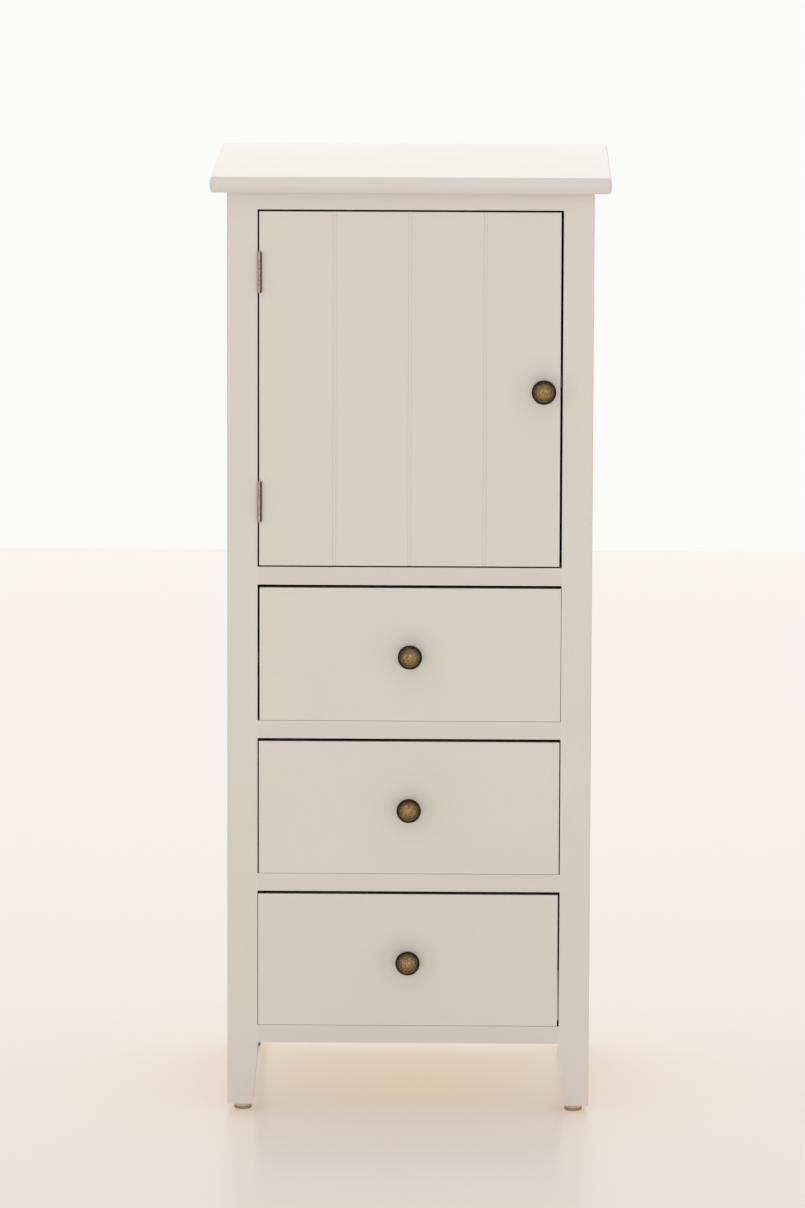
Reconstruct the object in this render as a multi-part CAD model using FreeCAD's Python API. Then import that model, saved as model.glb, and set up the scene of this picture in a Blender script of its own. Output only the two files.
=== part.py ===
import FreeCAD
import Part
import math
import os

# A slender painted cabinet on four legs: one planked door over three drawers.
# Millimetres. +Z is up, the front faces -Y and +X is the viewer's right.
# The origin is on the floor, at the middle of the box that the closed cabinet fills.

Vector = FreeCAD.Vector
UP = Vector(0, 0, 1)
same_place = 0.01

# Carcass
opening_width = 305.0
leg_width = 30.5
leg_depth = 30.0
carcass_depth = 320.0
floor_clearance = 71.0
rail_height = 18.0
door_opening_height = 360.0
drawer_opening_height = 138.5
drawer_count = 3
leg_edge_radius = 1.5

# Inner side of each front leg, which narrows towards the foot
taper_start_z = 59.5
foot_width = 25.4

# Top board
top_thickness = 16.0
top_side_overhang = 17.0
top_front_overhang = 15.0
nose_bulge = 2.0
top_corner_radius = 3.0

# Foot glides
glide_height = 7.0
glide_diameter = 18.0
glide_edge_radius = 1.2
glide_nail_diameter = 2.0
glide_nail_length = 12.0

# Side and back panels
side_panel_thickness = 12.0
side_panel_setback = 4.0
side_panel_housing = 6.0
back_panel_thickness = 4.0
back_rebate_width = 8.0

# Boards inside the cupboard, and the cleats that carry them
board_thickness = 12.0
board_clearance = 0.5
shelf_height = 180.0
shelf_setback = 4.0
cleat_width = 12.0
cleat_height = 12.0
cleat_end_gap = 5.0
cleat_screw_inset = 30.0

# Dowels between rails and legs
dowel_diameter = 6.0
dowel_length = 24.0
dowel_spacing = 15.0

# Screws and nails
wood_screw_head = 7.0
wood_screw_shank = 3.5
wood_screw_length = 20.0
wood_screw_cross = 4.0
small_screw_head = 4.6
small_screw_shank = 2.4
small_screw_length = 12.0
small_screw_cross = 2.4
cross_slot_width = 0.8
cross_depth = 0.9
top_screw_spacing = 120.0
top_screw_bite = 10.0
top_screw_counterbore = 8.5
nail_head = 3.5
nail_head_thickness = 0.6
nail_shank = 1.6
nail_length = 16.0
back_rail_nails = 3
back_leg_nails = 4

# Door and drawer fronts
front_thickness = 18.0
door_hinge_gap = 1.7
door_free_gap = 2.5
door_gap_top = 2.0
door_gap_bottom = 1.5
drawer_gap_side = 1.3
drawer_gap_top = 3.1
drawer_gap_bottom = 0.3

# Planks and battens of the door
plank_count = 4
tongue_thickness = 6.0
tongue_length = 6.0
tongue_clearance = 0.3
joint_width = 3.6
joint_depth = 0.8
joint_wall_slope = 0.4
batten_height = 40.0
batten_thickness = 12.0
batten_end_gap = 12.0
batten_screw_spread_x = 20.0
batten_screw_spread_z = 20.0

# Hinges
hinge_below_door_top = 60.7
hinge_above_door_bottom = 64.7
hinge_length = 40.0
leaf_thickness = 1.0
leaf_depth = 14.0
barrel_radius = 2.15
barrel_standoff = 0.4
knuckle_count = 5
knuckle_gap = 0.3
pin_radius = 1.2
pin_running_clearance = 0.08
pin_tip_radius = 1.9
pin_tip_height = 0.75
hinge_screw_spacing = 20.0

# Magnetic catch and the plate that it holds
catch_from_door_edge = 38.0
catch_width = 26.0
catch_flange_width = 46.0
catch_flange_thickness = 2.5
catch_depth = 12.0
catch_height = 12.0
catch_screw_spacing = 36.0
catch_pole_width = 3.0
catch_pole_reach = 1.0
catch_gap = 0.4
plate_width = 36.0
plate_height = 11.0
plate_thickness = 1.0
plate_below_door_top = 1.5

# Knobs
knob_reach = 24.0
knob_diameter = 24.6
knob_base_diameter = 15.0
knob_base_thickness = 1.5
knob_base_hollow = 0.8
knob_neck_diameter = 10.0
knob_neck_height = 8.0
knob_flare_hollow = 1.4
knob_rim_height = 17.0
knob_rim_roundness = 1.6
knob_face_diameter = 19.4
knob_face_height = 20.6
knob_dome_diameter = 15.4
knob_cove_depth = 0.6
knob_edge_distance = 16.5
knob_screw_diameter = 4.0
knob_screw_bite = 10.0
knob_screw_head_diameter = 8.0
knob_screw_head_height = 2.6
knob_screw_head_radius = 1.0
knob_screw_cross = 4.4

# Drawer boxes. From the top one down, each sits this far to the right of the middle
drawer_shifts = [0.8, 0.1, -0.6]
drawer_side_thickness = 12.0
drawer_box_gap = 3.0
drawer_front_lip = 8.0
drawer_rear_gap = 20.0
side_above_front_bottom = 4.0
side_below_front_top = 20.0
drawer_bottom_thickness = 4.0
drawer_bottom_rise = 8.0
drawer_bottom_groove = 5.0
drawer_bottom_clearance = 0.2
drawer_back_thickness = 12.0
drawer_back_inset = 8.0
drawer_back_housing = 3.0
drawer_back_drop = 6.0

# Drawer runners
runner_width = 9.0
runner_height = 12.0
runner_clearance = 0.4
runner_side_clearance = 1.2
runner_start_gap = 2.0
runner_end_gap = 1.0
runner_front_screw_inset = 5.0
runner_rear_screw_inset = 8.0

# Planes and levels that follow from the sizes above
half_opening = opening_width / 2
half_carcass = half_opening + leg_width
half_top = half_carcass + top_side_overhang
front_y = (knob_reach - carcass_depth) / 2
back_y = front_y + carcass_depth
front_leg_back_y = front_y + leg_depth
rear_leg_front_y = back_y - leg_depth
back_panel_y = back_y - back_panel_thickness
fronts_back_y = front_y + front_thickness
panel_outer_x = half_carcass - side_panel_setback
panel_inner_x = panel_outer_x - side_panel_thickness

drawer_pitch = rail_height + drawer_opening_height
door_opening_z = floor_clearance + rail_height + drawer_count * drawer_pitch
top_rail_z = door_opening_z + door_opening_height
carcass_top_z = top_rail_z + rail_height
shelf_z = door_opening_z + shelf_height

door_left_x = door_hinge_gap - half_opening
door_right_x = half_opening - door_free_gap
door_bottom_z = door_opening_z + door_gap_bottom
door_top_z = top_rail_z - door_gap_top
plank_width = (door_right_x - door_left_x) / plank_count

hinge_levels = [door_bottom_z + hinge_above_door_bottom, door_top_z - hinge_below_door_top]
pin_x = barrel_radius - half_opening
pin_y = front_y - barrel_radius - barrel_standoff
leaf_front_y = pin_y + barrel_radius + barrel_standoff
frame_leaf_x = -half_opening
door_leaf_x = door_left_x

catch_x = door_right_x - catch_from_door_edge
catch_front_y = fronts_back_y + plate_thickness + catch_gap

box_half = half_opening - drawer_box_gap
box_inner_half = box_half - drawer_side_thickness
box_rear_y = back_panel_y - drawer_rear_gap
runner_front_y = fronts_back_y + runner_start_gap
runner_back_y = back_panel_y - runner_end_gap
runner_groove_depth = runner_width - drawer_box_gap + runner_side_clearance


# Helpers

def block(x0, x1, y0, y1, z0, z1):
    """Box between two planes along each axis."""
    return Part.makeBox(x1 - x0, y1 - y0, z1 - z0, Vector(x0, y0, z0))


def mirrored(shape):
    """The same shape on the other side of the cabinet."""
    return shape.mirror(Vector(0, 0, 0), Vector(1, 0, 0))


def prism(points, direction):
    """Flat polygon pushed along a vector."""
    outline = Part.makePolygon(points + points[:1])
    return Part.Face(outline).extrude(direction)


def vertical_edges(shape, x, y):
    """Upright edges of a shape that stand at x, y."""
    found = []
    for edge in shape.Edges:
        ends = [vertex.Point for vertex in edge.Vertexes]
        if all(abs(p.x - x) < same_place and abs(p.y - y) < same_place for p in ends):
            found.append(edge)
    return found


def lowest_edges(shape):
    """Edges of a shape that lie flat on its underside."""
    floor_z = shape.BoundBox.ZMin
    return [edge for edge in shape.Edges if edge.BoundBox.ZMax < floor_z + same_place]


def bowed_arc(start, end, depth):
    """Arc in the XZ plane whose middle stands off the chord's left side by a depth."""
    along = (end - start).normalize()
    left = Vector(-along.z, 0, along.x)
    return Part.Arc(start, (start + end) * 0.5 + left * depth, end).toShape()


def drilled(piece, fasteners):
    """The piece with a hole of the same shape for each fastener that enters it."""
    entering = [f for f in fasteners if f.BoundBox.intersect(piece.BoundBox)]
    if not entering:
        return piece
    return piece.cut(entering)


def placed(shape, place):
    """Copy of a shape made along +Z, moved to a point and turned to a direction."""
    point, direction = place
    copy = shape.copy()
    copy.Placement = FreeCAD.Placement(point, FreeCAD.Rotation(UP, direction))
    return copy


def copies(shape, places):
    """One copy of a fastener at each of its places."""
    return [placed(shape, place) for place in places]


# Fasteners, each made with the flat of its head at the origin and driven along +Z

def screw_body(head_diameter, shank_diameter, length):
    """Countersunk wood screw without its cross."""
    head_radius = head_diameter / 2
    shank_radius = shank_diameter / 2
    head_height = head_radius - shank_radius
    tip_length = shank_diameter
    outline = [
        Vector(0, 0, 0),
        Vector(head_radius, 0, 0),
        Vector(shank_radius, 0, head_height),
        Vector(shank_radius, 0, length - tip_length),
        Vector(0, 0, length),
    ]
    face = Part.Face(Part.makePolygon(outline + outline[:1]))
    return face.revolve(Vector(0, 0, 0), UP, 360)


def cross_recess(length):
    """Cutter for the cross in a screw's head."""
    half = length / 2
    half_slot = cross_slot_width / 2
    along_x = block(-half, half, -half_slot, half_slot, 0, cross_depth)
    along_y = block(-half_slot, half_slot, -half, half, 0, cross_depth)
    return along_x.fuse(along_y)


def wood_screw_body():
    return screw_body(wood_screw_head, wood_screw_shank, wood_screw_length)


def small_screw_body():
    return screw_body(small_screw_head, small_screw_shank, small_screw_length)


def wood_screw():
    return wood_screw_body().cut(cross_recess(wood_screw_cross))


def small_screw():
    return small_screw_body().cut(cross_recess(small_screw_cross))


def nail():
    head = Part.makeCylinder(nail_head / 2, nail_head_thickness)
    shank = Part.makeCylinder(nail_shank / 2, nail_length)
    return head.fuse(shank).removeSplitter()


def knob_screw_body():
    """Machine screw; its shank runs along +Z from the face that its pan head rests on."""
    shank = Part.makeCylinder(knob_screw_diameter / 2, front_thickness + knob_screw_bite)
    head_radius = knob_screw_head_diameter / 2
    head = Part.makeCylinder(head_radius, knob_screw_head_height, Vector(0, 0, -knob_screw_head_height))
    head = head.makeFillet(knob_screw_head_radius, lowest_edges(head))
    return head.fuse(shank)


def knob_screw():
    recess = cross_recess(knob_screw_cross)
    recess.translate(Vector(0, 0, -knob_screw_head_height))
    return knob_screw_body().cut(recess)


# Places of the fasteners: a point and the direction in which each is driven

def runner_screw_places():
    front_screw_y = runner_front_y + runner_front_screw_inset
    rear_screw_y = rear_leg_front_y + runner_rear_screw_inset
    places = []
    for side in (-1, 1):
        for number in range(1, drawer_count + 1):
            for y in (front_screw_y, rear_screw_y):
                point = Vector(side * (half_opening - runner_width), y, runner_level(number))
                places.append((point, Vector(side, 0, 0)))
    return places


def cleat_screw_places():
    places = []
    for side in (-1, 1):
        for board_z in (door_opening_z - board_thickness, shelf_z):
            for y in (front_leg_back_y + cleat_screw_inset, rear_leg_front_y - cleat_screw_inset):
                point = Vector(side * (panel_inner_x - cleat_width), y, board_z - cleat_height / 2)
                places.append((point, Vector(side, 0, 0)))
    return places


def top_screw_places():
    head_z = carcass_top_z + top_screw_bite - wood_screw_length
    places = []
    for x in (-top_screw_spacing / 2, top_screw_spacing / 2):
        for y in (front_rail_middle_y(), rear_rail_middle_y()):
            places.append((Vector(x, y, head_z), UP))
    return places


def hinge_screw_places(x, side):
    """Two screws in each leaf whose near face is at x, driven to the left (-1) or the right (1)."""
    places = []
    for level in hinge_levels:
        for z in (level - hinge_screw_spacing / 2, level + hinge_screw_spacing / 2):
            point = Vector(x, leaf_front_y + leaf_depth / 2, z)
            places.append((point, Vector(side, 0, 0)))
    return places


def catch_screw_places():
    z = top_rail_z - catch_flange_thickness
    y = catch_front_y + catch_depth / 2
    half = catch_screw_spacing / 2
    return [(Vector(catch_x + step, y, z), UP) for step in (-half, half)]


def plate_screw_place():
    z = door_top_z - plate_below_door_top - plate_height / 2
    return (Vector(catch_x, fronts_back_y + plate_thickness, z), Vector(0, -1, 0))


def batten_screw_places():
    """Two screws in each plank at each batten, one high and one low."""
    places = []
    for level in hinge_levels:
        for index in range(plank_count):
            middle = door_left_x + (index + 0.5) * plank_width
            for sign in (-1, 1):
                x = middle + sign * batten_screw_spread_x / 2
                z = level + sign * batten_screw_spread_z / 2
                places.append((Vector(x, fronts_back_y + batten_thickness, z), Vector(0, -1, 0)))
    return places


def back_nail_places():
    places = []
    for z in (floor_clearance + rail_height / 2, top_rail_z + rail_height / 2):
        for index in range(back_rail_nails):
            x = opening_width * ((index + 0.5) / back_rail_nails - 0.5)
            places.append((Vector(x, back_y, z), Vector(0, -1, 0)))
    for side in (-1, 1):
        for index in range(back_leg_nails):
            z = floor_clearance + (carcass_top_z - floor_clearance) * (index + 0.5) / back_leg_nails
            x = side * (half_opening + back_rebate_width / 2)
            places.append((Vector(x, back_y, z), Vector(0, -1, 0)))
    return places


def drawer_knob_place(number):
    z = (drawer_front_bottom(number) + drawer_front_top(number)) / 2
    return (Vector(0, fronts_back_y, z), Vector(0, -1, 0))


def door_knob_place():
    z = (door_bottom_z + door_top_z) / 2
    return (Vector(door_right_x - knob_edge_distance, fronts_back_y, z), Vector(0, -1, 0))


# Levels of the drawers, which are numbered from the top

def drawer_opening_z(number):
    return floor_clearance + rail_height + (drawer_count - number) * drawer_pitch


def drawer_shift(number):
    return Vector(drawer_shifts[(number - 1) % len(drawer_shifts)], 0, 0)


def drawer_front_bottom(number):
    return drawer_opening_z(number) + drawer_gap_bottom


def drawer_front_top(number):
    return drawer_opening_z(number) + drawer_opening_height - drawer_gap_top


def drawer_side_bottom(number):
    return drawer_front_bottom(number) + side_above_front_bottom


def drawer_side_top(number):
    return drawer_front_top(number) - side_below_front_top


def runner_level(number):
    """Middle height of a drawer's runners and of the grooves that ride on them."""
    return (drawer_side_bottom(number) + drawer_side_top(number)) / 2


def front_rail_middle_y():
    return (front_y + front_leg_back_y) / 2


def rear_rail_middle_y():
    return (rear_leg_front_y + back_panel_y) / 2


# Carcass

def nose_segment(foot, outward):
    """Face between an upright chord and the shallow arc that bulges out of it."""
    head = foot + Vector(0, 0, top_thickness)
    middle = (foot + head) * 0.5 + outward * nose_bulge
    arc = Part.Arc(foot, middle, head).toShape()
    chord = Part.LineSegment(head, foot).toShape()
    return Part.Face(Part.Wire([arc, chord]))


def top_board():
    """Board with a rounded nose at the front and both sides, and a straight back edge."""
    core_x = half_top - nose_bulge
    core_y = front_y - top_front_overhang + nose_bulge
    corner_x = core_x - top_corner_radius
    corner_y = core_y + top_corner_radius
    z = carcass_top_z
    core = block(-core_x, core_x, core_y, back_y, z, z + top_thickness)
    corners = vertical_edges(core, -core_x, core_y) + vertical_edges(core, core_x, core_y)
    core = core.makeFillet(top_corner_radius, corners)
    front_section = nose_segment(Vector(-corner_x, core_y, z), Vector(0, -1, 0))
    front_nose = front_section.extrude(Vector(2 * corner_x, 0, 0))
    right_section = nose_segment(Vector(core_x, corner_y, z), Vector(1, 0, 0))
    right_nose = right_section.extrude(Vector(0, back_y - corner_y, 0))
    right_corner = right_section.revolve(Vector(corner_x, corner_y, 0), UP, -90)
    noses = [front_nose, right_nose, right_corner, mirrored(right_nose), mirrored(right_corner)]
    return core.fuse(noses).removeSplitter()


def front_leg_blank():
    """Right front leg: its inner side runs straight down and then narrows to the foot."""
    outline = [
        Vector(half_carcass, front_y, glide_height),
        Vector(half_carcass, front_y, carcass_top_z),
        Vector(half_opening, front_y, carcass_top_z),
        Vector(half_opening, front_y, taper_start_z),
        Vector(half_carcass - foot_width, front_y, glide_height),
    ]
    leg = prism(outline, Vector(0, leg_depth, 0))
    return leg.makeFillet(leg_edge_radius, vertical_edges(leg, half_carcass, front_y))


def rear_leg_blank():
    """Right rear leg, a straight post."""
    leg = block(half_opening, half_carcass, rear_leg_front_y, back_y, glide_height, carcass_top_z)
    return leg.makeFillet(leg_edge_radius, vertical_edges(leg, half_carcass, back_y))


def side_panel():
    """Right side panel, housed in both legs."""
    y0 = front_leg_back_y - side_panel_housing
    y1 = rear_leg_front_y + side_panel_housing
    return block(panel_inner_x, panel_outer_x, y0, y1, floor_clearance, carcass_top_z)


def back_panel():
    half_width = half_opening + back_rebate_width
    return block(-half_width, half_width, back_panel_y, back_y, floor_clearance, carcass_top_z)


def front_rail(z):
    return block(-half_opening, half_opening, front_y, front_leg_back_y, z, z + rail_height)


def rear_rail(z):
    return block(-half_opening, half_opening, rear_leg_front_y, back_panel_y, z, z + rail_height)


def front_rail_levels():
    """Underside of each front rail by name, from the top down."""
    levels = {"front_rail_top": top_rail_z, "front_rail_under_door": door_opening_z - rail_height}
    for number in range(1, drawer_count):
        levels[f"front_rail_under_drawer_{number}"] = drawer_opening_z(number) - rail_height
    levels["front_rail_bottom"] = floor_clearance
    return levels


def top_screw_counterbores():
    """Wide holes that let the screws of the top sit inside the rails."""
    radius = top_screw_counterbore / 2
    holes = []
    for point, _ in top_screw_places():
        depth = point.z - top_rail_z
        holes.append(Part.makeCylinder(radius, depth, Vector(point.x, point.y, top_rail_z)))
    return holes


def notched_board(front_edge_y, z):
    """Board that fills the cupboard from side to side and is notched round the legs."""
    z1 = z + board_thickness
    wide_x = panel_inner_x - board_clearance
    wide_front = front_leg_back_y + board_clearance
    wide_back = rear_leg_front_y - board_clearance
    wide = block(-wide_x, wide_x, wide_front, wide_back, z, z1)
    narrow_x = half_opening - board_clearance
    narrow = block(-narrow_x, narrow_x, front_edge_y, back_panel_y - board_clearance, z, z1)
    return wide.fuse(narrow).removeSplitter()


def cleat(z):
    """Right cleat under a board whose underside is at z."""
    x0 = panel_inner_x - cleat_width
    y0 = front_leg_back_y + cleat_end_gap
    y1 = rear_leg_front_y - cleat_end_gap
    return block(x0, panel_inner_x, y0, y1, z - cleat_height, z)


def board_cleats():
    right = [cleat(door_opening_z - board_thickness), cleat(shelf_z)]
    return right + [mirrored(piece) for piece in right]


def runner(number):
    """Right runner of a drawer, screwed to the inner sides of the legs."""
    x0 = half_opening - runner_width
    z0 = runner_level(number) - runner_height / 2
    return block(x0, half_opening, runner_front_y, runner_back_y, z0, z0 + runner_height)


def drawer_runners():
    right = [runner(number) for number in range(1, drawer_count + 1)]
    return right + [mirrored(piece) for piece in right]


def rail_dowels():
    """Two dowels at each end of every rail."""
    ends = [(front_rail_middle_y(), z) for z in front_rail_levels().values()]
    ends += [(rear_rail_middle_y(), z) for z in (floor_clearance, top_rail_z)]
    dowels = []
    for y, z in ends:
        for side in (-1, 1):
            for step in (-dowel_spacing / 2, dowel_spacing / 2):
                start = Vector(side * half_opening - dowel_length / 2, y + step, z + rail_height / 2)
                dowels.append(Part.makeCylinder(dowel_diameter / 2, dowel_length, start, Vector(1, 0, 0)))
    return dowels


def foot_glide(x, y):
    """Round glide with a rounded lower edge and a nail in its middle."""
    disc = Part.makeCylinder(glide_diameter / 2, glide_height, Vector(x, y, 0))
    disc = disc.makeFillet(glide_edge_radius, lowest_edges(disc))
    stem = Part.makeCylinder(glide_nail_diameter / 2, glide_nail_length, Vector(x, y, glide_height))
    return disc.fuse(stem)


def foot_glides():
    x = half_carcass - leg_width / 2
    glides = []
    for side in (-1, 1):
        glides.append(foot_glide(side * x, front_y + leg_depth / 2))
        glides.append(foot_glide(side * x, back_y - leg_depth / 2))
    return glides


# Hinges

def knuckle_spans(level, first):
    """Lower and upper end of every second knuckle of a hinge, from the given one up."""
    length = (hinge_length - (knuckle_count - 1) * knuckle_gap) / knuckle_count
    spans = []
    for index in range(first, knuckle_count, 2):
        z0 = level - hinge_length / 2 + index * (length + knuckle_gap)
        spans.append((z0, z0 + length))
    return spans


def hinge_leaf(level, x, first_knuckle, bore_radius):
    """Plate from x inwards with its own knuckles rolled round the pin."""
    z0 = level - hinge_length / 2
    leaf = block(x, x + leaf_thickness, leaf_front_y, leaf_front_y + leaf_depth, z0, z0 + hinge_length)
    for low, high in knuckle_spans(level, first_knuckle):
        neck = block(x, x + leaf_thickness, pin_y, leaf_front_y, low, high)
        knuckle = Part.makeCylinder(barrel_radius, high - low, Vector(pin_x, pin_y, low))
        bore = Part.makeCylinder(bore_radius, high - low, Vector(pin_x, pin_y, low))
        leaf = leaf.fuse([neck, knuckle]).cut(bore)
    return leaf.removeSplitter()


def frame_leaves():
    return [hinge_leaf(level, frame_leaf_x, 0, pin_radius) for level in hinge_levels]


def door_leaves():
    bore_radius = pin_radius + pin_running_clearance
    return [hinge_leaf(level, door_leaf_x, 1, bore_radius) for level in hinge_levels]


def hinge_pin(level):
    """Pin with a small domed tip at each end of the barrel."""
    low = Vector(pin_x, pin_y, level - hinge_length / 2)
    high = Vector(pin_x, pin_y, level + hinge_length / 2)
    shaft = Part.makeCylinder(pin_radius, hinge_length, low)
    upper_tip = Part.makeCone(pin_tip_radius, pin_radius, pin_tip_height, high)
    lower_tip = Part.makeCone(pin_tip_radius, pin_radius, pin_tip_height, low, Vector(0, 0, -1))
    return shaft.fuse([upper_tip, lower_tip])


# Magnetic catch

def magnetic_catch():
    """Case with two steel poles in front and a flange for its screws."""
    y0 = catch_front_y + catch_pole_reach
    y1 = catch_front_y + catch_depth
    case_z = top_rail_z - catch_height
    case_half = catch_width / 2
    case = block(catch_x - case_half, catch_x + case_half, y0, y1, case_z, top_rail_z)
    flange_z = top_rail_z - catch_flange_thickness
    flange_half = catch_flange_width / 2
    flange = block(catch_x - flange_half, catch_x + flange_half, y0, y1, flange_z, top_rail_z)
    pole_half = catch_pole_width / 2
    pole_z0 = case_z + pole_half
    pole_z1 = flange_z - pole_half
    poles = []
    for sign in (-1, 1):
        x = catch_x + sign * (case_half - catch_pole_width)
        poles.append(block(x - pole_half, x + pole_half, catch_front_y, y0, pole_z0, pole_z1))
    return case.fuse([flange] + poles).removeSplitter()


def catch_plate():
    half = plate_width / 2
    z1 = door_top_z - plate_below_door_top
    y1 = fronts_back_y + plate_thickness
    return block(catch_x - half, catch_x + half, fronts_back_y, y1, z1 - plate_height, z1)


# Door

def plank_joint(x):
    """Cutter for the shallow channel along the joint between two planks."""
    half = joint_width / 2
    floor_half = half - joint_wall_slope
    outline = [
        Vector(x - half, front_y, door_bottom_z),
        Vector(x + half, front_y, door_bottom_z),
        Vector(x + floor_half, front_y + joint_depth, door_bottom_z),
        Vector(x - floor_half, front_y + joint_depth, door_bottom_z),
    ]
    return prism(outline, Vector(0, 0, door_top_z - door_bottom_z))


def tongue(x, clearance):
    """Tongue that starts at x, or its groove when it has a clearance."""
    middle = front_y + front_thickness / 2
    half = tongue_thickness / 2 + clearance
    return block(x, x + tongue_length + clearance, middle - half, middle + half, door_bottom_z, door_top_z)


def door_plank(index):
    """One upright plank, with a tongue on its right and a groove on its left."""
    x0 = door_left_x + index * plank_width
    x1 = x0 + plank_width
    plank = block(x0, x1, front_y, fronts_back_y, door_bottom_z, door_top_z)
    if index > 0:
        plank = plank.cut([plank_joint(x0), tongue(x0, tongue_clearance)])
    if index < plank_count - 1:
        plank = plank.cut(plank_joint(x1)).fuse(tongue(x1, 0))
    return plank.removeSplitter()


def door_batten(level):
    x0 = door_left_x + batten_end_gap
    x1 = door_right_x - batten_end_gap
    half = batten_height / 2
    return block(x0, x1, fronts_back_y, fronts_back_y + batten_thickness, level - half, level + half)


# Knobs

def knob_shape():
    """Turned knob that grows along +Z from the face it stands on."""
    def point(diameter, height):
        return Vector(diameter / 2, 0, height)

    base = point(knob_base_diameter, knob_base_thickness)
    neck_low = point(knob_neck_diameter, (knob_base_thickness + knob_neck_height) / 2)
    neck_high = point(knob_neck_diameter, knob_neck_height)
    rim_low = point(knob_diameter - knob_rim_roundness, knob_rim_height - knob_rim_roundness)
    rim = point(knob_diameter, knob_rim_height)
    rim_high = point(knob_diameter - knob_rim_roundness / 2, knob_rim_height + knob_rim_roundness)
    face = point(knob_face_diameter, knob_face_height)
    dome_edge = point(knob_dome_diameter, knob_face_height)
    dome_rise = knob_reach - knob_face_height
    dome_radius = (dome_rise ** 2 + (knob_dome_diameter / 2) ** 2) / (2 * dome_rise)
    half_way = math.asin(knob_dome_diameter / 2 / dome_radius) / 2
    dome_middle_height = knob_reach - dome_radius * (1 - math.cos(half_way))
    dome_middle = point(2 * dome_radius * math.sin(half_way), dome_middle_height)
    edges = [
        Part.LineSegment(point(0, 0), point(knob_base_diameter, 0)).toShape(),
        Part.LineSegment(point(knob_base_diameter, 0), base).toShape(),
        bowed_arc(base, neck_low, knob_base_hollow),
        Part.LineSegment(neck_low, neck_high).toShape(),
        bowed_arc(neck_high, rim_low, knob_flare_hollow),
        Part.Arc(rim_low, rim, rim_high).toShape(),
        Part.LineSegment(rim_high, face).toShape(),
        bowed_arc(face, dome_edge, knob_cove_depth),
        Part.Arc(dome_edge, dome_middle, point(0, knob_reach)).toShape(),
        Part.LineSegment(point(0, knob_reach), point(0, 0)).toShape(),
    ]
    return Part.Face(Part.Wire(edges)).revolve(Vector(0, 0, 0), UP, 360)


def knob(screw_place):
    """Knob on the front face that a knob screw comes through."""
    point, direction = screw_place
    standing = (point + direction * front_thickness, direction)
    return placed(knob_shape(), standing)


# Drawers

def drawer_front(number):
    """Front with a rebate at each end for the sides and a groove for the bottom."""
    x = half_opening - drawer_gap_side
    z0 = drawer_front_bottom(number)
    z1 = drawer_front_top(number)
    front = block(-x, x, front_y, fronts_back_y, z0, z1)
    rebate_y = front_y + drawer_front_lip
    rebate = block(box_inner_half, x, rebate_y, fronts_back_y, z0, z1)
    groove_z = drawer_bottom_z(number)
    groove_top = groove_z + drawer_bottom_thickness + drawer_bottom_clearance
    groove_y = fronts_back_y - drawer_bottom_groove
    groove = block(-box_inner_half, box_inner_half, groove_y, fronts_back_y, groove_z, groove_top)
    return front.cut([rebate, mirrored(rebate), groove])


def drawer_bottom_z(number):
    return drawer_side_bottom(number) + drawer_bottom_rise


def drawer_back(number):
    half = box_inner_half + drawer_back_housing
    y1 = box_rear_y - drawer_back_inset
    z0 = drawer_bottom_z(number) + drawer_bottom_thickness + drawer_bottom_clearance
    z1 = drawer_side_top(number) - drawer_back_drop
    return block(-half, half, y1 - drawer_back_thickness, y1, z0, z1)


def drawer_bottom(number):
    half = box_inner_half + drawer_bottom_groove - drawer_bottom_clearance
    y0 = fronts_back_y - drawer_bottom_groove + drawer_bottom_clearance
    y1 = box_rear_y - drawer_back_inset
    z0 = drawer_bottom_z(number)
    return block(-half, half, y0, y1, z0, z0 + drawer_bottom_thickness)


def drawer_side(number):
    """Right side: outer groove for the runner, inner groove for the bottom, housing for the back."""
    x0 = box_inner_half
    x1 = box_half
    y0 = front_y + drawer_front_lip
    y1 = box_rear_y
    side = block(x0, x1, y0, y1, drawer_side_bottom(number), drawer_side_top(number))
    level = runner_level(number)
    half = runner_height / 2 + runner_clearance
    stop_y = runner_front_y - runner_clearance
    runner_groove = block(x1 - runner_groove_depth, x1, stop_y, y1, level - half, level + half)
    groove_z = drawer_bottom_z(number)
    groove_top = groove_z + drawer_bottom_thickness + drawer_bottom_clearance
    bottom_groove = block(x0, x0 + drawer_bottom_groove, y0, y1, groove_z, groove_top)
    return side.cut([runner_groove, bottom_groove, drawer_back(number)])


def drawer_nodes(number):
    """Every piece of one drawer by name."""
    place = drawer_knob_place(number)
    hole = [placed(knob_screw_body(), place)]
    side = drawer_side(number)
    name = f"drawer_{number}"
    pieces = {
        f"{name}_front": drilled(drawer_front(number), hole),
        f"{name}_side_left": mirrored(side),
        f"{name}_side_right": side,
        f"{name}_back": drawer_back(number),
        f"{name}_bottom": drawer_bottom(number),
        f"{name}_knob": drilled(knob(place), hole),
        f"{name}_knob_screw": placed(knob_screw(), place),
    }
    for piece in pieces.values():
        piece.translate(drawer_shift(number))
    return pieces


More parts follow.
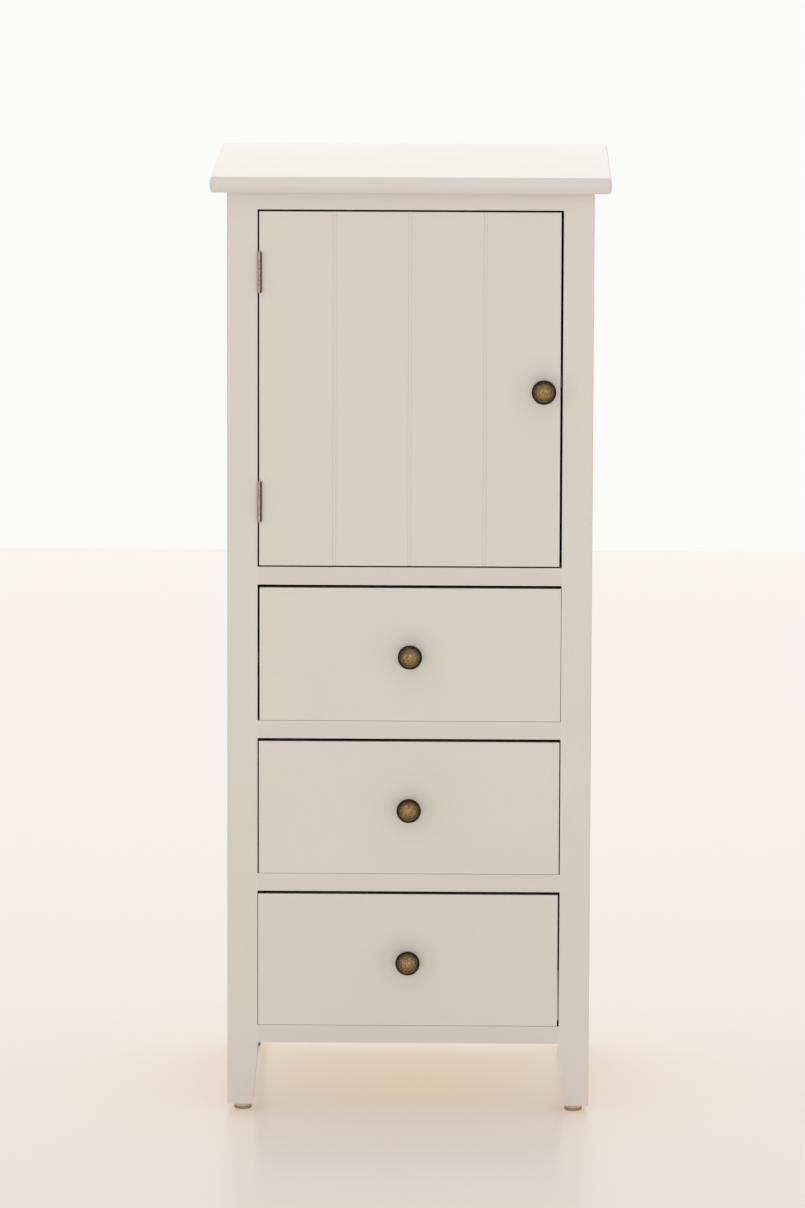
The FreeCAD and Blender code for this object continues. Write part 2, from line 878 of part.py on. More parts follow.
def door_nodes():
    """Every piece of the door by name."""
    knob_place = door_knob_place()
    small_places = hinge_screw_places(door_leaf_x, 1) + [plate_screw_place()]
    batten_places = batten_screw_places()
    knob_hole = placed(knob_screw_body(), knob_place)
    screws = copies(small_screw_body(), small_places) + copies(wood_screw_body(), batten_places)
    holes = screws + [knob_hole]
    leaves = door_leaves()
    nodes = {}
    for index in range(plank_count):
        nodes[f"door_plank_{index + 1}"] = drilled(door_plank(index), holes + leaves)
    nodes["door_batten_lower"] = drilled(door_batten(hinge_levels[0]), holes)
    nodes["door_batten_upper"] = drilled(door_batten(hinge_levels[1]), holes)
    nodes["door_batten_screws"] = Part.makeCompound(copies(wood_screw(), batten_places))
    nodes["hinge_door_leaves"] = Part.makeCompound([drilled(leaf, holes) for leaf in leaves])
    nodes["door_small_screws"] = Part.makeCompound(copies(small_screw(), small_places))
    nodes["catch_plate"] = drilled(catch_plate(), holes)
    nodes["door_knob"] = drilled(knob(knob_place), [knob_hole])
    nodes["door_knob_screw"] = placed(knob_screw(), knob_place)
    return nodes


def carcass_nodes():
    """Every piece that stands still, by name."""
    wood_places = runner_screw_places() + cleat_screw_places() + top_screw_places()
    small_places = hinge_screw_places(frame_leaf_x + leaf_thickness, -1) + catch_screw_places()
    dowels = rail_dowels()
    glides = foot_glides()
    nails = copies(nail(), back_nail_places())
    holes = copies(wood_screw_body(), wood_places) + copies(small_screw_body(), small_places)
    holes += nails + dowels + glides
    right_panel = side_panel()
    left_panel = mirrored(right_panel)
    back = back_panel()
    housed = [right_panel, left_panel, back]
    legs = {
        "front_leg_right": front_leg_blank(),
        "front_leg_left": mirrored(front_leg_blank()),
        "rear_leg_right": rear_leg_blank(),
        "rear_leg_left": mirrored(rear_leg_blank()),
    }

    nodes = {"top_board": drilled(top_board(), holes)}
    for name, leg in legs.items():
        nodes[name] = drilled(leg, housed + holes)
    for name, z in front_rail_levels().items():
        nodes[name] = drilled(front_rail(z), holes + top_screw_counterbores())
    nodes["rear_rail_top"] = drilled(rear_rail(top_rail_z), holes + top_screw_counterbores())
    nodes["rear_rail_bottom"] = drilled(rear_rail(floor_clearance), holes)
    nodes["side_panel_right"] = drilled(right_panel, holes)
    nodes["side_panel_left"] = drilled(left_panel, holes)
    nodes["back_panel"] = drilled(back, nails)
    nodes["cupboard_floor"] = notched_board(front_leg_back_y, door_opening_z - board_thickness)
    nodes["cupboard_shelf"] = notched_board(fronts_back_y + shelf_setback, shelf_z)
    nodes["board_cleats"] = Part.makeCompound([drilled(piece, holes) for piece in board_cleats()])
    nodes["drawer_runners"] = Part.makeCompound([drilled(piece, holes) for piece in drawer_runners()])
    nodes["rail_dowels"] = Part.makeCompound(dowels)
    nodes["carcass_screws"] = Part.makeCompound(copies(wood_screw(), wood_places))
    nodes["carcass_small_screws"] = Part.makeCompound(copies(small_screw(), small_places))
    nodes["back_panel_nails"] = Part.makeCompound(nails)
    nodes["foot_glides"] = Part.makeCompound(glides)
    nodes["hinge_frame_leaves"] = Part.makeCompound([drilled(leaf, holes) for leaf in frame_leaves()])
    nodes["hinge_pins"] = Part.makeCompound([hinge_pin(level) for level in hinge_levels])
    nodes["magnetic_catch"] = drilled(magnetic_catch(), holes)
    return nodes


def main():
    nodes = carcass_nodes()
    nodes.update(door_nodes())
    for number in range(1, drawer_count + 1):
        nodes.update(drawer_nodes(number))
    os.makedirs("parts", exist_ok=True)
    for name, shape in nodes.items():
        shape.exportStep(f"parts/{name}.step")
    print(len(nodes), "nodes")


main()
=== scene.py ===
import bpy
import math
from mathutils import Matrix, Vector


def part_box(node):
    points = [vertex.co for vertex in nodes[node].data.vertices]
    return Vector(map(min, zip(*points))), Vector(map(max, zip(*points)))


# A slender painted cabinet in a pale studio. Metres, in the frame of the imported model:
# +Z is up, the front faces -Y and +X is the viewer's right.

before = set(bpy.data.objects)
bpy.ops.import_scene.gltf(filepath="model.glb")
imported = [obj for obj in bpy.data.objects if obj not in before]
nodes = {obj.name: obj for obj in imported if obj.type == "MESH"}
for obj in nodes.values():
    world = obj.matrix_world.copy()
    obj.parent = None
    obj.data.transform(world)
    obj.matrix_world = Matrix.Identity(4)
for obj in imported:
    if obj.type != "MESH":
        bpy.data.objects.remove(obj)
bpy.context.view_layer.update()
axis_x, axis_y, axis_z = range(3)

# Camera, as the photograph's: a long lens from a little above, almost square to the front
camera_lens = 225.2
sensor_width = 36.0
aim_x = -0.0070
aim_height = 0.5214
camera_distance = 7.581
camera_yaw = math.radians(-0.721)
camera_pitch = math.radians(9.221)
camera_roll = math.radians(0.185)
camera_reach = 100.0

# Floor: where it lies, and its colour as the camera sees it, from near to far
floor_half_width = 9.0
floor_near_y = -12.0
floor_far_y = 3.57
floor_near_color = (0.80, 0.72, 0.65)
floor_far_color = (0.90, 0.86, 0.83)
floor_fade = (-1.1, 1.2)
floor_clouds = {"scale": 2.2, "detail": 4.0}
floor_drift = 0.8

# Colour of the light that the floor throws back, from the cabinet outwards
floor_bounce_near = (0.57, 0.505, 0.43)
floor_bounce_far = (0.74, 0.69, 0.63)
floor_bounce_reach = (0.15, 0.75)

# Gloss of the floor: its share grows as the floor is seen at a lower angle
floor_gloss_color = (0.97, 0.90, 0.83)
floor_gloss_roughness = 0.24
floor_gloss_share = (0.10, 0.60)
floor_facing = (0.4, 1.0)
facing_blend = 0.5

# Glow of the floor, which lightens its shade and carries it into the background
floor_glow_start = -0.5
floor_glow_colors = [
    (0.0, (0.83, 0.755, 0.705)),
    (0.10, (0.845, 0.782, 0.725)),
    (0.35, (0.897, 0.840, 0.795)),
    (0.68, (0.932, 0.889, 0.856)),
    (1.0, (0.956, 0.914, 0.881)),
]
floor_glow_share = (0.50, 0.96)

# Warm tint of the floor where the cabinet shades it
floor_shade_reach = 0.25
floor_shade_tint = (1.08, 0.945, 0.775)
no_tint = (1.0, 1.0, 1.0)

# Background and lights
background_color = (0.968, 0.966, 0.960)
ambient_color = (1.0, 0.985, 0.968)
ambient_strength = 0.72
overhead_color = (0.92, 0.97, 1.0)
overhead_power = 43.0
overhead_size = (3.0, 3.0)
overhead_place = Vector((0.0, 1.3, 3.0))
front_color = (1.0, 0.985, 0.97)
front_power = 52.0
front_size = (4.0, 2.0)
front_place = Vector((0.0, -6.0, 1.1))

# Patterns: a scale is in cells per metre, and a stretch gives it along and across the grain.
# Most of a noise lies in its middle span, over which a pair of roughnesses goes.
middle_span = (0.3, 0.7)
tone_span = (0.35, 0.65)

# Paint
paint_color = (0.775, 0.727, 0.678)
paint_shade = (0.757, 0.706, 0.656)
rail_tone = (0.975, 0.968, 0.957)
paint_patches = {"scale": 7.0, "detail": 2.0}
paint_sheen = {"scale": 30.0, "detail": 4.0}
paint_roughness = (0.42, 0.52)
paint_gloss = 0.45
paint_grain_stretch = (6.0, 170.0)
paint_grain = {"detail": 5.0, "roughness": 0.6, "distortion": 0.3}
paint_grain_depth = 0.00008
paint_peel = {"scale": 420.0, "detail": 2.0}
paint_peel_depth = 0.00004
# Painted shade: surfaces in crevices and gaps turn dark brown where little space is open over them
crevice_shade_color = (0.038, 0.018, 0.006)
crevice_reach = 0.006
crevice_openness = (0.17, 0.58)

# Bare wood
wood_pale = (0.62, 0.44, 0.26)
wood_dark = (0.44, 0.28, 0.15)
wood_span = (0.2, 0.5)
ring_stretch = (1.6, 34.0)
ring_flow = {"detail": 3.0, "roughness": 0.45, "distortion": 1.6}
ring_frequency = 42.0
ring_strength = 0.22
pore_stretch = (22.0, 900.0)
wood_pores = {"detail": 4.0, "roughness": 0.65}
wood_roughness = (0.72, 0.60)
pore_depth = 0.00015

# Thin board
board_pale = (0.42, 0.28, 0.17)
board_dark = (0.31, 0.20, 0.12)
board_stretch = (1.0, 1.6, 1.0)
board_fibres = {"scale": 260.0, "detail": 6.0, "roughness": 0.7, "distortion": 1.2}
board_roughness = (0.62, 0.78)
board_relief = 0.00012

# Brass of the knobs; radii are shares of the knob's own, depths and heights shares of its box
# The bright dome, greyed ring and dark rim by radius are a painted reflection; the darker upper dome is
# painted shade
brass_bright = (0.388, 0.274, 0.124)
brass_worn = (0.168, 0.116, 0.054)
brass_middle = (0.112, 0.084, 0.051)
brass_dark = (0.032, 0.020, 0.009)
brass_tarnish = {"scale": 420.0, "detail": 5.0, "roughness": 0.6}
brass_speckle = {"scale": 650.0, "detail": 4.0, "roughness": 0.65}
brass_speckle_span = (0.40, 0.56)
brass_wander = 0.30
brass_ring_radii = (0.54, 0.76)
brass_rim_radii = (0.78, 0.88)
brass_neck_depths = (0.30, 0.40)
brass_upper_heights = (0.50, 0.90)
brass_upper_shade = 0.10
brass_roughness = (0.42, 0.58)
brass_relief = 0.00005

# Plating of the hinges, with a painted highlight on the frame's side of the barrel and painted shade at
# its left edge and on the door's side; the distances are from the pins' axis along X
hinge_lit_bright = (0.60, 0.46, 0.35)
hinge_lit_worn = (0.38, 0.27, 0.19)
hinge_shade = (0.050, 0.034, 0.022)
hinge_dark = (0.020, 0.014, 0.009)
hinge_worn_span = (0.35, 0.60)
hinge_shaded_edge_from_pin = (-0.00225, -0.00125)
hinge_shaded_side_from_pin = (0.00015, 0.00085)
hinge_patches = {"scale": 500.0, "detail": 5.0, "roughness": 0.6}
hinge_metallic = 0.35
hinge_roughness = (0.55, 0.42)
hinge_relief = 0.00003

# Plating of the screws and of the catch's plate; roughness goes from dull to bright
zinc = {
    "bright": (0.60, 0.60, 0.58),
    "dull": (0.42, 0.42, 0.41),
    "scale": 700.0,
    "roughness": (0.50, 0.32),
}
nickel = {
    "bright": (0.66, 0.65, 0.62),
    "dull": (0.57, 0.56, 0.54),
    "scale": 40.0,
    "roughness": (0.38, 0.28),
}
plating_patches = {"detail": 5.0, "roughness": 0.6}
brush_stretch = (20.0, 1600.0)
brush_lines = {"detail": 2.0}
brush_depth = 0.000004

# Plastic of the catch
catch_color = (0.62, 0.60, 0.56)
catch_worn = (0.66, 0.65, 0.62)
catch_patches = {"scale": 160.0, "detail": 4.0}
catch_wear_span = (0.45, 0.75)
catch_roughness = (0.45, 0.62)
catch_grain = {"scale": 2600.0, "detail": 1.0}
catch_grain_depth = 0.00003

# Foot glides: a plastic cup over a brown band at the floor that is felt and painted contact shade
glide_pale = (0.80, 0.76, 0.66)
glide_worn = (0.66, 0.60, 0.49)
glide_stains = {"scale": 260.0, "detail": 4.0}
felt_brown = (0.56, 0.39, 0.25)
felt_dark = (0.32, 0.21, 0.13)
felt_fibres = {"scale": 1100.0, "detail": 5.0, "roughness": 0.65}
felt_and_shade_height = (0.0028, 0.0036)
felt_roughness = 0.90
cup_roughness = 0.50
felt_relief = 0.00012

# Eased edges of the painted boards
board_edge = 0.0006
board_edge_segments = 3
board_edge_angle = math.radians(40)


# Shader helpers

def empty_material(name):
    """Material, its tree and its output, with nothing else in the tree."""
    material = bpy.data.materials.new(name)
    material.use_nodes = True
    tree = material.node_tree
    tree.nodes.clear()
    output = tree.nodes.new("ShaderNodeOutputMaterial")
    return material, tree, output


def start_material(name):
    """Material, its tree and a Principled shader that is wired to the output."""
    material, tree, output = empty_material(name)
    shader = tree.nodes.new("ShaderNodeBsdfPrincipled")
    tree.links.new(shader.outputs["BSDF"], output.inputs["Surface"])
    return material, tree, shader


def coordinates(tree, kind, stretch=(1, 1, 1)):
    """Texture coordinates of a kind, scaled along each axis."""
    source = tree.nodes.new("ShaderNodeTexCoord")
    mapping = tree.nodes.new("ShaderNodeMapping")
    mapping.inputs["Scale"].default_value = stretch
    tree.links.new(source.outputs[kind], mapping.inputs["Vector"])
    return mapping.outputs["Vector"]


def grain_coordinates(tree, axis, stretch):
    """Coordinates for a pattern drawn out along an axis: low scale along it, high across it."""
    lengthwise, across = stretch
    scales = tuple(lengthwise if index == axis else across for index in range(3))
    return coordinates(tree, "Object", scales)


def split_vector(tree, vector):
    """The X, Y and Z of a vector, by name."""
    node = tree.nodes.new("ShaderNodeSeparateXYZ")
    tree.links.new(vector, node.inputs["Vector"])
    return node.outputs


def noise(tree, vector, scale=1.0, detail=3.0, roughness=0.5, distortion=0.0):
    """Noise from 0 to 1."""
    node = tree.nodes.new("ShaderNodeTexNoise")
    node.inputs["Scale"].default_value = scale
    node.inputs["Detail"].default_value = detail
    node.inputs["Roughness"].default_value = roughness
    node.inputs["Distortion"].default_value = distortion
    tree.links.new(vector, node.inputs["Vector"])
    return node.outputs[0]


def openness(tree, reach):
    """How open the space over the surface is within a reach, from 0 in a crevice to 1."""
    node = tree.nodes.new("ShaderNodeAmbientOcclusion")
    node.inputs["Distance"].default_value = reach
    return node.outputs["AO"]


def ramp(tree, value, stops):
    """Colour ramp through (position, colour) stops."""
    node = tree.nodes.new("ShaderNodeValToRGB")
    elements = node.color_ramp.elements
    while len(elements) < len(stops):
        elements.new(0.5)
    for element, (position, color) in zip(elements, stops):
        element.position = position
        element.color = (*color, 1.0)
    tree.links.new(value, node.inputs["Fac"])
    return node.outputs["Color"]


def two_tones(tree, pattern, first, second, span=tone_span):
    """Colour that goes from one tone to another over a span of a pattern."""
    return ramp(tree, pattern, list(zip(span, (first, second))))


def rescale(tree, value, span, first=0.0, last=1.0):
    """Number that goes from first to last as a value goes over a span."""
    node = tree.nodes.new("ShaderNodeMapRange")
    node.inputs["From Min"].default_value, node.inputs["From Max"].default_value = span
    node.inputs["To Min"].default_value = first
    node.inputs["To Max"].default_value = last
    tree.links.new(value, node.inputs["Value"])
    return node.outputs["Result"]


def mix_colors(tree, share, first, second):
    """Blend of two colours, each a socket or a constant."""
    node = tree.nodes.new("ShaderNodeMix")
    node.data_type = "RGBA"
    colors = [socket for socket in node.inputs if socket.type == "RGBA"]
    for socket, value in zip(colors, (first, second)):
        if isinstance(value, tuple):
            socket.default_value = (*value, 1.0)
        else:
            tree.links.new(value, socket)
    tree.links.new(share, node.inputs["Factor"])
    return next(socket for socket in node.outputs if socket.type == "RGBA")


def multiply_colors(tree, first, second):
    """Product of two colours, each a socket or a constant."""
    node = tree.nodes.new("ShaderNodeVectorMath")
    node.operation = "MULTIPLY"
    for socket, value in zip(node.inputs, (first, second)):
        if isinstance(value, tuple):
            socket.default_value = value
        else:
            tree.links.new(value, socket)
    return node.outputs["Vector"]


def mix_shaders(tree, share, first, second):
    """Blend of two shaders."""
    node = tree.nodes.new("ShaderNodeMixShader")
    tree.links.new(share, node.inputs["Fac"])
    tree.links.new(first, node.inputs[1])
    tree.links.new(second, node.inputs[2])
    return node.outputs["Shader"]


def math_node(tree, operation, *operands):
    """Result of one arithmetic step; each operand is a socket or a number."""
    node = tree.nodes.new("ShaderNodeMath")
    node.operation = operation
    for socket, value in zip(node.inputs, operands):
        if isinstance(value, (int, float)):
            socket.default_value = value
        else:
            tree.links.new(value, socket)
    return node.outputs[0]


def vary_roughness(tree, shader, pattern, roughness):
    """Roughness that goes from the first of a pair to the second over the middle of a pattern."""
    tree.links.new(rescale(tree, pattern, middle_span, *roughness), shader.inputs["Roughness"])


def add_bump(tree, shader, height, distance, before=None):
    """Bump of a real depth in metres, on top of an earlier one."""
    node = tree.nodes.new("ShaderNodeBump")
    node.inputs["Distance"].default_value = distance
    tree.links.new(height, node.inputs["Height"])
    if before is not None:
        tree.links.new(before, node.inputs["Normal"])
    tree.links.new(node.outputs["Normal"], shader.inputs["Normal"])
    return node.outputs["Normal"]


def seen_ray(tree):
    """1 for a ray by which the camera sees a surface, straight, mirrored or through glass."""
    path = tree.nodes.new("ShaderNodeLightPath")
    seen = math_node(tree, "MAXIMUM", path.outputs["Is Camera Ray"], path.outputs["Is Glossy Ray"])
    return math_node(tree, "MAXIMUM", seen, path.outputs["Is Transmission Ray"])


# Materials

def painted_wood(name, grain_axis, tone=None):
    """Satin paint with a faint orange peel and painted shade in crevices and gaps, over wood whose grain
    just shows.
    """
    material, tree, shader = start_material(name)
    place = coordinates(tree, "Object")
    patches = noise(tree, place, **paint_patches)
    color = mix_colors(tree, rescale(tree, patches, middle_span), paint_shade, paint_color)
    if tone is not None:
        color = multiply_colors(tree, color, tone)
    # Painted shade in crevices and gaps, by how open the space over the surface is
    unshaded = rescale(tree, openness(tree, crevice_reach), crevice_openness)
    tree.links.new(mix_colors(tree, unshaded, crevice_shade_color, color), shader.inputs["Base Color"])
    vary_roughness(tree, shader, noise(tree, place, **paint_sheen), paint_roughness)
    grain_place = grain_coordinates(tree, grain_axis, paint_grain_stretch)
    grain = noise(tree, grain_place, **paint_grain)
    peel = noise(tree, place, **paint_peel)
    first = add_bump(tree, shader, grain, paint_grain_depth)
    add_bump(tree, shader, peel, paint_peel_depth, before=first)
    shader.inputs["Specular IOR Level"].default_value = paint_gloss
    return material


def bare_wood(name, grain_axis):
    """Pale unfinished wood with rings and pores along one axis."""
    material, tree, shader = start_material(name)
    flow = noise(tree, grain_coordinates(tree, grain_axis, ring_stretch), **ring_flow)
    rings = math_node(tree, "SINE", math_node(tree, "MULTIPLY", flow, ring_frequency))
    pores = noise(tree, grain_coordinates(tree, grain_axis, pore_stretch), **wood_pores)
    figure = math_node(tree, "ADD", math_node(tree, "MULTIPLY", rings, ring_strength), pores)
    color = two_tones(tree, figure, wood_dark, wood_pale, wood_span)
    tree.links.new(color, shader.inputs["Base Color"])
    vary_roughness(tree, shader, pores, wood_roughness)
    add_bump(tree, shader, pores, pore_depth)
    return material


def panel_board(name):
    """Thin unfinished board with short matted fibres."""
    material, tree, shader = start_material(name)
    fibres = noise(tree, coordinates(tree, "Object", board_stretch), **board_fibres)
    tree.links.new(two_tones(tree, fibres, board_dark, board_pale), shader.inputs["Base Color"])
    vary_roughness(tree, shader, fibres, board_roughness)
    add_bump(tree, shader, fibres, board_relief)
    return material


def radius_on_face(tree, box_place):
    """Distance from the middle of a knob's face, which is 1 at its rim."""
    across = math_node(tree, "SUBTRACT", box_place["X"], 0.5)
    up = math_node(tree, "SUBTRACT", box_place["Z"], 0.5)
    across_squared = math_node(tree, "MULTIPLY", across, across)
    up_squared = math_node(tree, "MULTIPLY", up, up)
    distance = math_node(tree, "SQRT", math_node(tree, "ADD", across_squared, up_squared))
    return math_node(tree, "MULTIPLY", distance, 2.0)


def antique_brass(name):
    """Aged brass, dark on the neck; the bright dome, greyed ring and dark rim are a painted reflection,
    and the dome is darker towards its top, a painted shade.
    """
    material, tree, shader = start_material(name)
    box_place = split_vector(tree, coordinates(tree, "Generated"))
    place = coordinates(tree, "Object")
    tarnish = noise(tree, place, **brass_tarnish)
    wander = math_node(tree, "MULTIPLY", math_node(tree, "SUBTRACT", tarnish, 0.5), brass_wander)
    radius = math_node(tree, "ADD", radius_on_face(tree, box_place), wander)
    # Painted shade: the dome is darker towards its top
    upper_shade = rescale(tree, box_place["Z"], brass_upper_heights, 0.0, brass_upper_shade)
    speckle = math_node(tree, "SUBTRACT", noise(tree, place, **brass_speckle), upper_shade)
    dome = two_tones(tree, speckle, brass_worn, brass_bright, brass_speckle_span)
    # Painted reflection: greyed ring and dark rim by radius
    ringed = mix_colors(tree, rescale(tree, radius, brass_ring_radii), dome, brass_middle)
    rimmed = mix_colors(tree, rescale(tree, radius, brass_rim_radii), ringed, brass_dark)
    behind = rescale(tree, box_place["Y"], brass_neck_depths)
    tree.links.new(mix_colors(tree, behind, rimmed, brass_dark), shader.inputs["Base Color"])
    shader.inputs["Metallic"].default_value = 1.0
    vary_roughness(tree, shader, tarnish, brass_roughness)
    add_bump(tree, shader, tarnish, brass_relief)
    return material


def plated_metal(name, bright, dull, scale, roughness):
    """Plated steel with dull patches and faint upright brush lines."""
    material, tree, shader = start_material(name)
    patches = noise(tree, coordinates(tree, "Object"), scale, **plating_patches)
    tree.links.new(two_tones(tree, patches, dull, bright), shader.inputs["Base Color"])
    shader.inputs["Metallic"].default_value = 1.0
    vary_roughness(tree, shader, patches, roughness)
    lines = noise(tree, grain_coordinates(tree, axis_z, brush_stretch), **brush_lines)
    add_bump(tree, shader, lines, brush_depth)
    return material


def hinge_metal(name):
    """Bronze plating with a painted highlight along the frame's side of the barrel and painted shade at
    its left edge and on the door's side.
    """
    material, tree, shader = start_material(name)
    place = coordinates(tree, "Object")
    patches = noise(tree, place, **hinge_patches)
    lit_side = two_tones(tree, patches, hinge_lit_worn, hinge_lit_bright, hinge_worn_span)
    shaded_side = two_tones(tree, patches, hinge_dark, hinge_shade)
    low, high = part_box("hinge_pins")
    from_pin = math_node(tree, "SUBTRACT", split_vector(tree, place)["X"], (low.x + high.x) / 2)
    # Painted shade at the barrel's left edge and on the door's side, painted highlight between
    edge_shaded = mix_colors(tree, rescale(tree, from_pin, hinge_shaded_edge_from_pin), shaded_side, lit_side)
    share = rescale(tree, from_pin, hinge_shaded_side_from_pin)
    tree.links.new(mix_colors(tree, share, edge_shaded, shaded_side), shader.inputs["Base Color"])
    shader.inputs["Metallic"].default_value = hinge_metallic
    vary_roughness(tree, shader, patches, hinge_roughness)
    add_bump(tree, shader, patches, hinge_relief)
    return material


def felted_glide(name):
    """Pale plastic cup of a foot glide, over a brown band that is its felt and painted contact shade."""
    material, tree, shader = start_material(name)
    place = coordinates(tree, "Object")
    fibres = noise(tree, place, **felt_fibres)
    felt = two_tones(tree, fibres, felt_dark, felt_brown)
    cup = two_tones(tree, noise(tree, place, **glide_stains), glide_worn, glide_pale)
    height = split_vector(tree, place)["Z"]
    # Brown band at the foot: the felt, and painted contact shade
    share = rescale(tree, height, felt_and_shade_height)
    tree.links.new(mix_colors(tree, share, felt, cup), shader.inputs["Base Color"])
    roughness = rescale(tree, height, felt_and_shade_height, felt_roughness, cup_roughness)
    tree.links.new(roughness, shader.inputs["Roughness"])
    add_bump(tree, shader, fibres, felt_relief)
    return material


def catch_plastic(name):
    """Pale moulded plastic with a fine grain."""
    material, tree, shader = start_material(name)
    place = coordinates(tree, "Object")
    patches = noise(tree, place, **catch_patches)
    color = mix_colors(tree, rescale(tree, patches, catch_wear_span), catch_color, catch_worn)
    tree.links.new(color, shader.inputs["Base Color"])
    vary_roughness(tree, shader, patches, catch_roughness)
    add_bump(tree, shader, noise(tree, place, **catch_grain), catch_grain_depth)
    return material


def assign(names, material):
    """Gives nodes one material in place of their own."""
    for name in names:
        slots = nodes[name].data.materials
        slots.clear()
        slots.append(material)


def names_starting(*beginnings):
    """Names of the nodes that start with any of these words."""
    return [name for name in nodes if name.startswith(beginnings)]


def names_ending(ending, beginning=""):
    """Names of the nodes that end with a word, and start with another if one is given."""
    return [name for name in nodes if name.startswith(beginning) and name.endswith(ending)]


def ease_edges(names):
    """Rounds the sharp edges of boards a little, as sanding and paint do."""
    for name in names:
        bevel = nodes[name].modifiers.new("eased_edges", "BEVEL")
        bevel.width = board_edge
        bevel.segments = board_edge_segments
        bevel.limit_method = "ANGLE"
        bevel.angle_limit = board_edge_angle
        bevel.harden_normals = True


def dress_painted():
    """Paints the case, the door and the fronts, each along its own grain."""
    upright = painted_wood("paint_over_upright_grain", axis_z)
    crosswise = painted_wood("paint_over_crosswise_grain", axis_x)
    assign(names_starting("front_leg", "rear_leg", "door_plank", "side_panel", "back_panel"), upright)
    assign(names_starting("front_rail", "rear_rail", "top_board", "cupboard", "door_batten"), crosswise)
    lower_rails = [name for name in names_starting("front_rail") if name != "front_rail_top"]
    assign(lower_rails, painted_wood("paint_on_rails", axis_x, rail_tone))
    assign(["board_cleats"], painted_wood("paint_over_deep_grain", axis_y))
    assign(names_ending("_front"), crosswise)
    boards = names_starting("front_leg", "rear_leg", "door_plank", "front_rail", "rear_rail", "cupboard")
    ease_edges(boards + names_ending("_front"))


def dress_bare():
    """Leaves the drawer boxes, the runners and the dowels as bare wood and thin board."""
    sides = [name for name in nodes if "_side_" in name]
    assign(sides + ["drawer_runners"], bare_wood("bare_wood_deep", axis_y))
    assign(names_ending("_back", "drawer_") + ["rail_dowels"], bare_wood("bare_wood_crosswise", axis_x))
    assign(names_ending("_bottom", "drawer_"), panel_board("thin_board"))


def dress_fittings():
    """Finishes the knobs, hinges, screws, nails, catch and glides."""
    assign(names_ending("_knob"), antique_brass("antique_brass"))
    assign(names_starting("hinge"), hinge_metal("bronze_plating"))
    fasteners = [name for name in nodes if "screw" in name or "nails" in name]
    assign(fasteners, plated_metal("zinc_plating", **zinc))
    assign(["catch_plate"], plated_metal("nickel_plating", **nickel))
    assign(["magnetic_catch"], catch_plastic("pale_plastic"))
    assign(["foot_glides"], felted_glide("felted_plastic"))


# Stage

def floor_shade(tree):
    """Warm tint where the cabinet shades the floor."""
    return mix_colors(tree, openness(tree, floor_shade_reach), floor_shade_tint, no_tint)


def floor_bounce(tree, place):
    """Colour of the light that the floor throws back on the cabinet."""
    distance = tree.nodes.new("ShaderNodeVectorMath")
    distance.operation = "LENGTH"
    tree.links.new(place, distance.inputs[0])
    outward = rescale(tree, distance.outputs["Value"], floor_bounce_reach)
    return mix_colors(tree, outward, floor_bounce_near, floor_bounce_far)


def matt_floor(tree, place, seen, shade):
    """Diffuse floor that throws less light back than it shows."""
    clouds = noise(tree, place, **floor_clouds)
    drift = math_node(tree, "MULTIPLY", math_node(tree, "SUBTRACT", clouds, 0.5), floor_drift)
    depth = math_node(tree, "ADD", split_vector(tree, place)["Y"], drift)
    faded = mix_colors(tree, rescale(tree, depth, floor_fade), floor_near_color, floor_far_color)
    seen_color = multiply_colors(tree, faded, shade)
    diffuse = tree.nodes.new("ShaderNodeBsdfDiffuse")
    color = mix_colors(tree, seen, floor_bounce(tree, place), seen_color)
    tree.links.new(color, diffuse.inputs["Color"])
    return diffuse.outputs["BSDF"]


def floor_surface(tree, place, seen, shade):
    """Matt floor that gets glossy as it is seen at a lower angle."""
    gloss = tree.nodes.new("ShaderNodeBsdfGlossy")
    tree.links.new(multiply_colors(tree, shade, floor_gloss_color), gloss.inputs["Color"])
    gloss.inputs["Roughness"].default_value = floor_gloss_roughness
    facing = tree.nodes.new("ShaderNodeLayerWeight")
    facing.inputs["Blend"].default_value = facing_blend
    share = rescale(tree, facing.outputs["Facing"], floor_facing, *floor_gloss_share)
    return mix_shaders(tree, share, matt_floor(tree, place, seen, shade), gloss.outputs["BSDF"])


def floor_material():
    """Pale studio floor; its own colour shows through part of any shade on it."""
    material, tree, output = empty_material("studio_floor")
    place = coordinates(tree, "Object")
    seen = seen_ray(tree)
    shade = floor_shade(tree)
    surface = floor_surface(tree, place, seen, shade)
    depth = rescale(tree, split_vector(tree, place)["Y"], (floor_glow_start, floor_far_y))
    glow = tree.nodes.new("ShaderNodeEmission")
    glow_color = ramp(tree, depth, floor_glow_colors)
    tree.links.new(multiply_colors(tree, glow_color, shade), glow.inputs["Color"])
    share = math_node(tree, "MULTIPLY", rescale(tree, depth, (0, 1), *floor_glow_share), seen)
    blend = mix_shaders(tree, share, surface, glow.outputs["Emission"])
    tree.links.new(blend, output.inputs["Surface"])
    return material


def studio_floor():
    """Large flat floor at height 0."""
    mesh = bpy.data.meshes.new("studio_floor")
    corners = [
        (-floor_half_width, floor_near_y, 0),
        (floor_half_width, floor_near_y, 0),
        (floor_half_width, floor_far_y, 0),
        (-floor_half_width, floor_far_y, 0),
    ]
    mesh.from_pydata(corners, [], [(0, 1, 2, 3)])
    mesh.materials.append(floor_material())
    floor = bpy.data.objects.new("studio_floor", mesh)
    bpy.context.scene.collection.objects.link(floor)


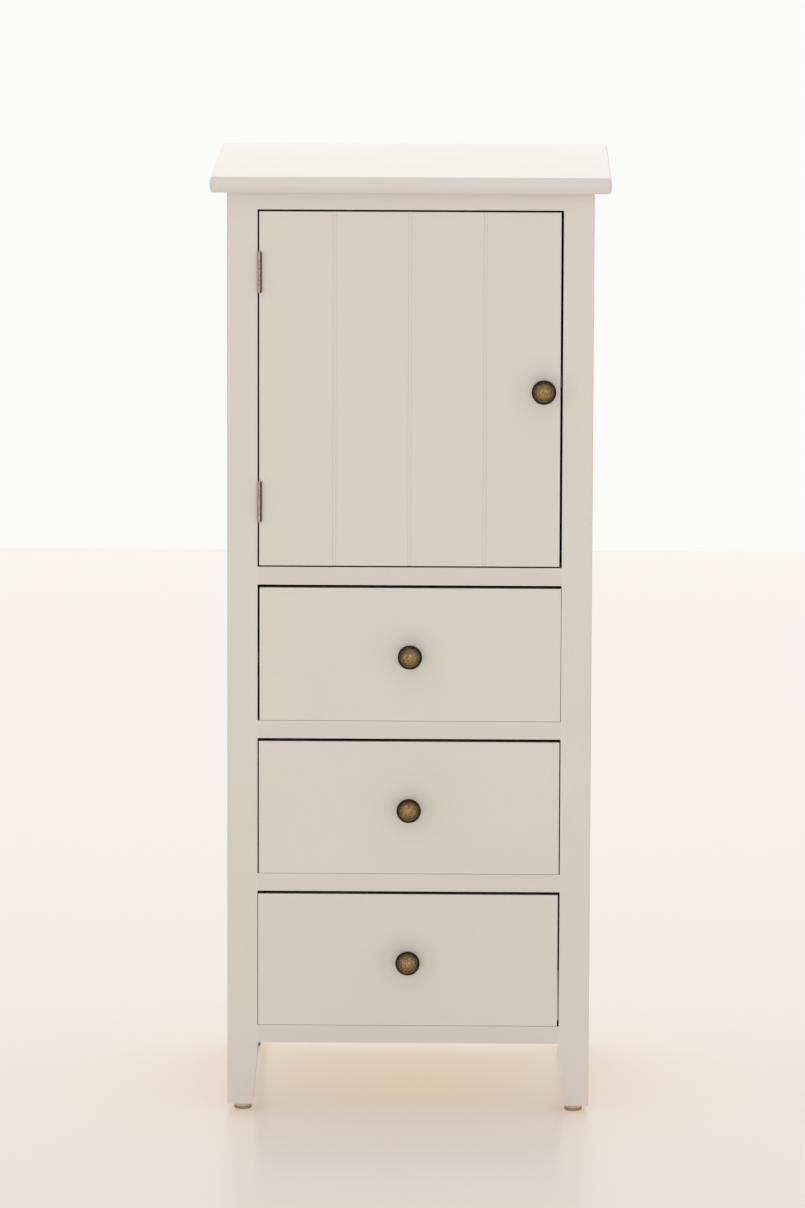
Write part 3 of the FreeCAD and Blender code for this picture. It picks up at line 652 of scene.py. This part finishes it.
def studio_world():
    """Soft light all round; the camera and reflections see a white background instead."""
    world = bpy.data.worlds.new("studio")
    world.use_nodes = True
    tree = world.node_tree
    tree.nodes.clear()
    output = tree.nodes.new("ShaderNodeOutputWorld")
    ambient = tree.nodes.new("ShaderNodeBackground")
    ambient.inputs["Color"].default_value = (*ambient_color, 1.0)
    ambient.inputs["Strength"].default_value = ambient_strength
    backdrop = tree.nodes.new("ShaderNodeBackground")
    backdrop.inputs["Color"].default_value = (*background_color, 1.0)
    both = mix_shaders(tree, seen_ray(tree), ambient.outputs["Background"], backdrop.outputs["Background"])
    tree.links.new(both, output.inputs["Surface"])
    bpy.context.scene.world = world


def area_light(name, place, aim, size, color, power):
    """Rectangular soft light at a place, turned to a point, that the camera does not see."""
    lamp = bpy.data.lights.new(name, "AREA")
    lamp.shape = "RECTANGLE"
    lamp.size, lamp.size_y = size
    lamp.color = color
    lamp.energy = power
    light = bpy.data.objects.new(name, lamp)
    light.location = place
    light.rotation_euler = (aim - place).to_track_quat("-Z", "Y").to_euler()
    light.visible_camera = False
    bpy.context.scene.collection.objects.link(light)


def studio_lights():
    """A softbox overhead, a little behind the cabinet, and one in front of it."""
    area_light("overhead_softbox", overhead_place, overhead_place - Vector((0, 0, 1)),
               overhead_size, overhead_color, overhead_power)
    area_light("front_softbox", front_place, Vector((0, 0, aim_height)),
               front_size, front_color, front_power)


def photograph_camera():
    """Camera aimed at a point of the front plane, turned by yaw and pitch, then rolled."""
    forward = Vector((math.sin(camera_yaw), math.cos(camera_yaw), 0)) * math.cos(camera_pitch)
    forward.z = -math.sin(camera_pitch)
    level_right = Vector((math.cos(camera_yaw), -math.sin(camera_yaw), 0))
    level_up = level_right.cross(forward)
    right = level_right * math.cos(camera_roll) + level_up * math.sin(camera_roll)
    up = right.cross(forward)
    front_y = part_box("front_rail_top")[0].y
    aim = Vector((aim_x, front_y, aim_height))
    data = bpy.data.cameras.new("photograph_camera")
    data.lens = camera_lens
    data.sensor_width = sensor_width
    data.clip_end = camera_reach
    camera = bpy.data.objects.new("photograph_camera", data)
    turn = Matrix((right, up, -forward)).transposed().to_4x4()
    camera.matrix_world = Matrix.Translation(aim - forward * camera_distance) @ turn
    bpy.context.scene.collection.objects.link(camera)
    bpy.context.scene.camera = camera


photograph_camera()
studio_world()
studio_lights()
studio_floor()
dress_painted()
dress_bare()
dress_fittings()

bpy.context.scene.view_settings.view_transform = "Standard"
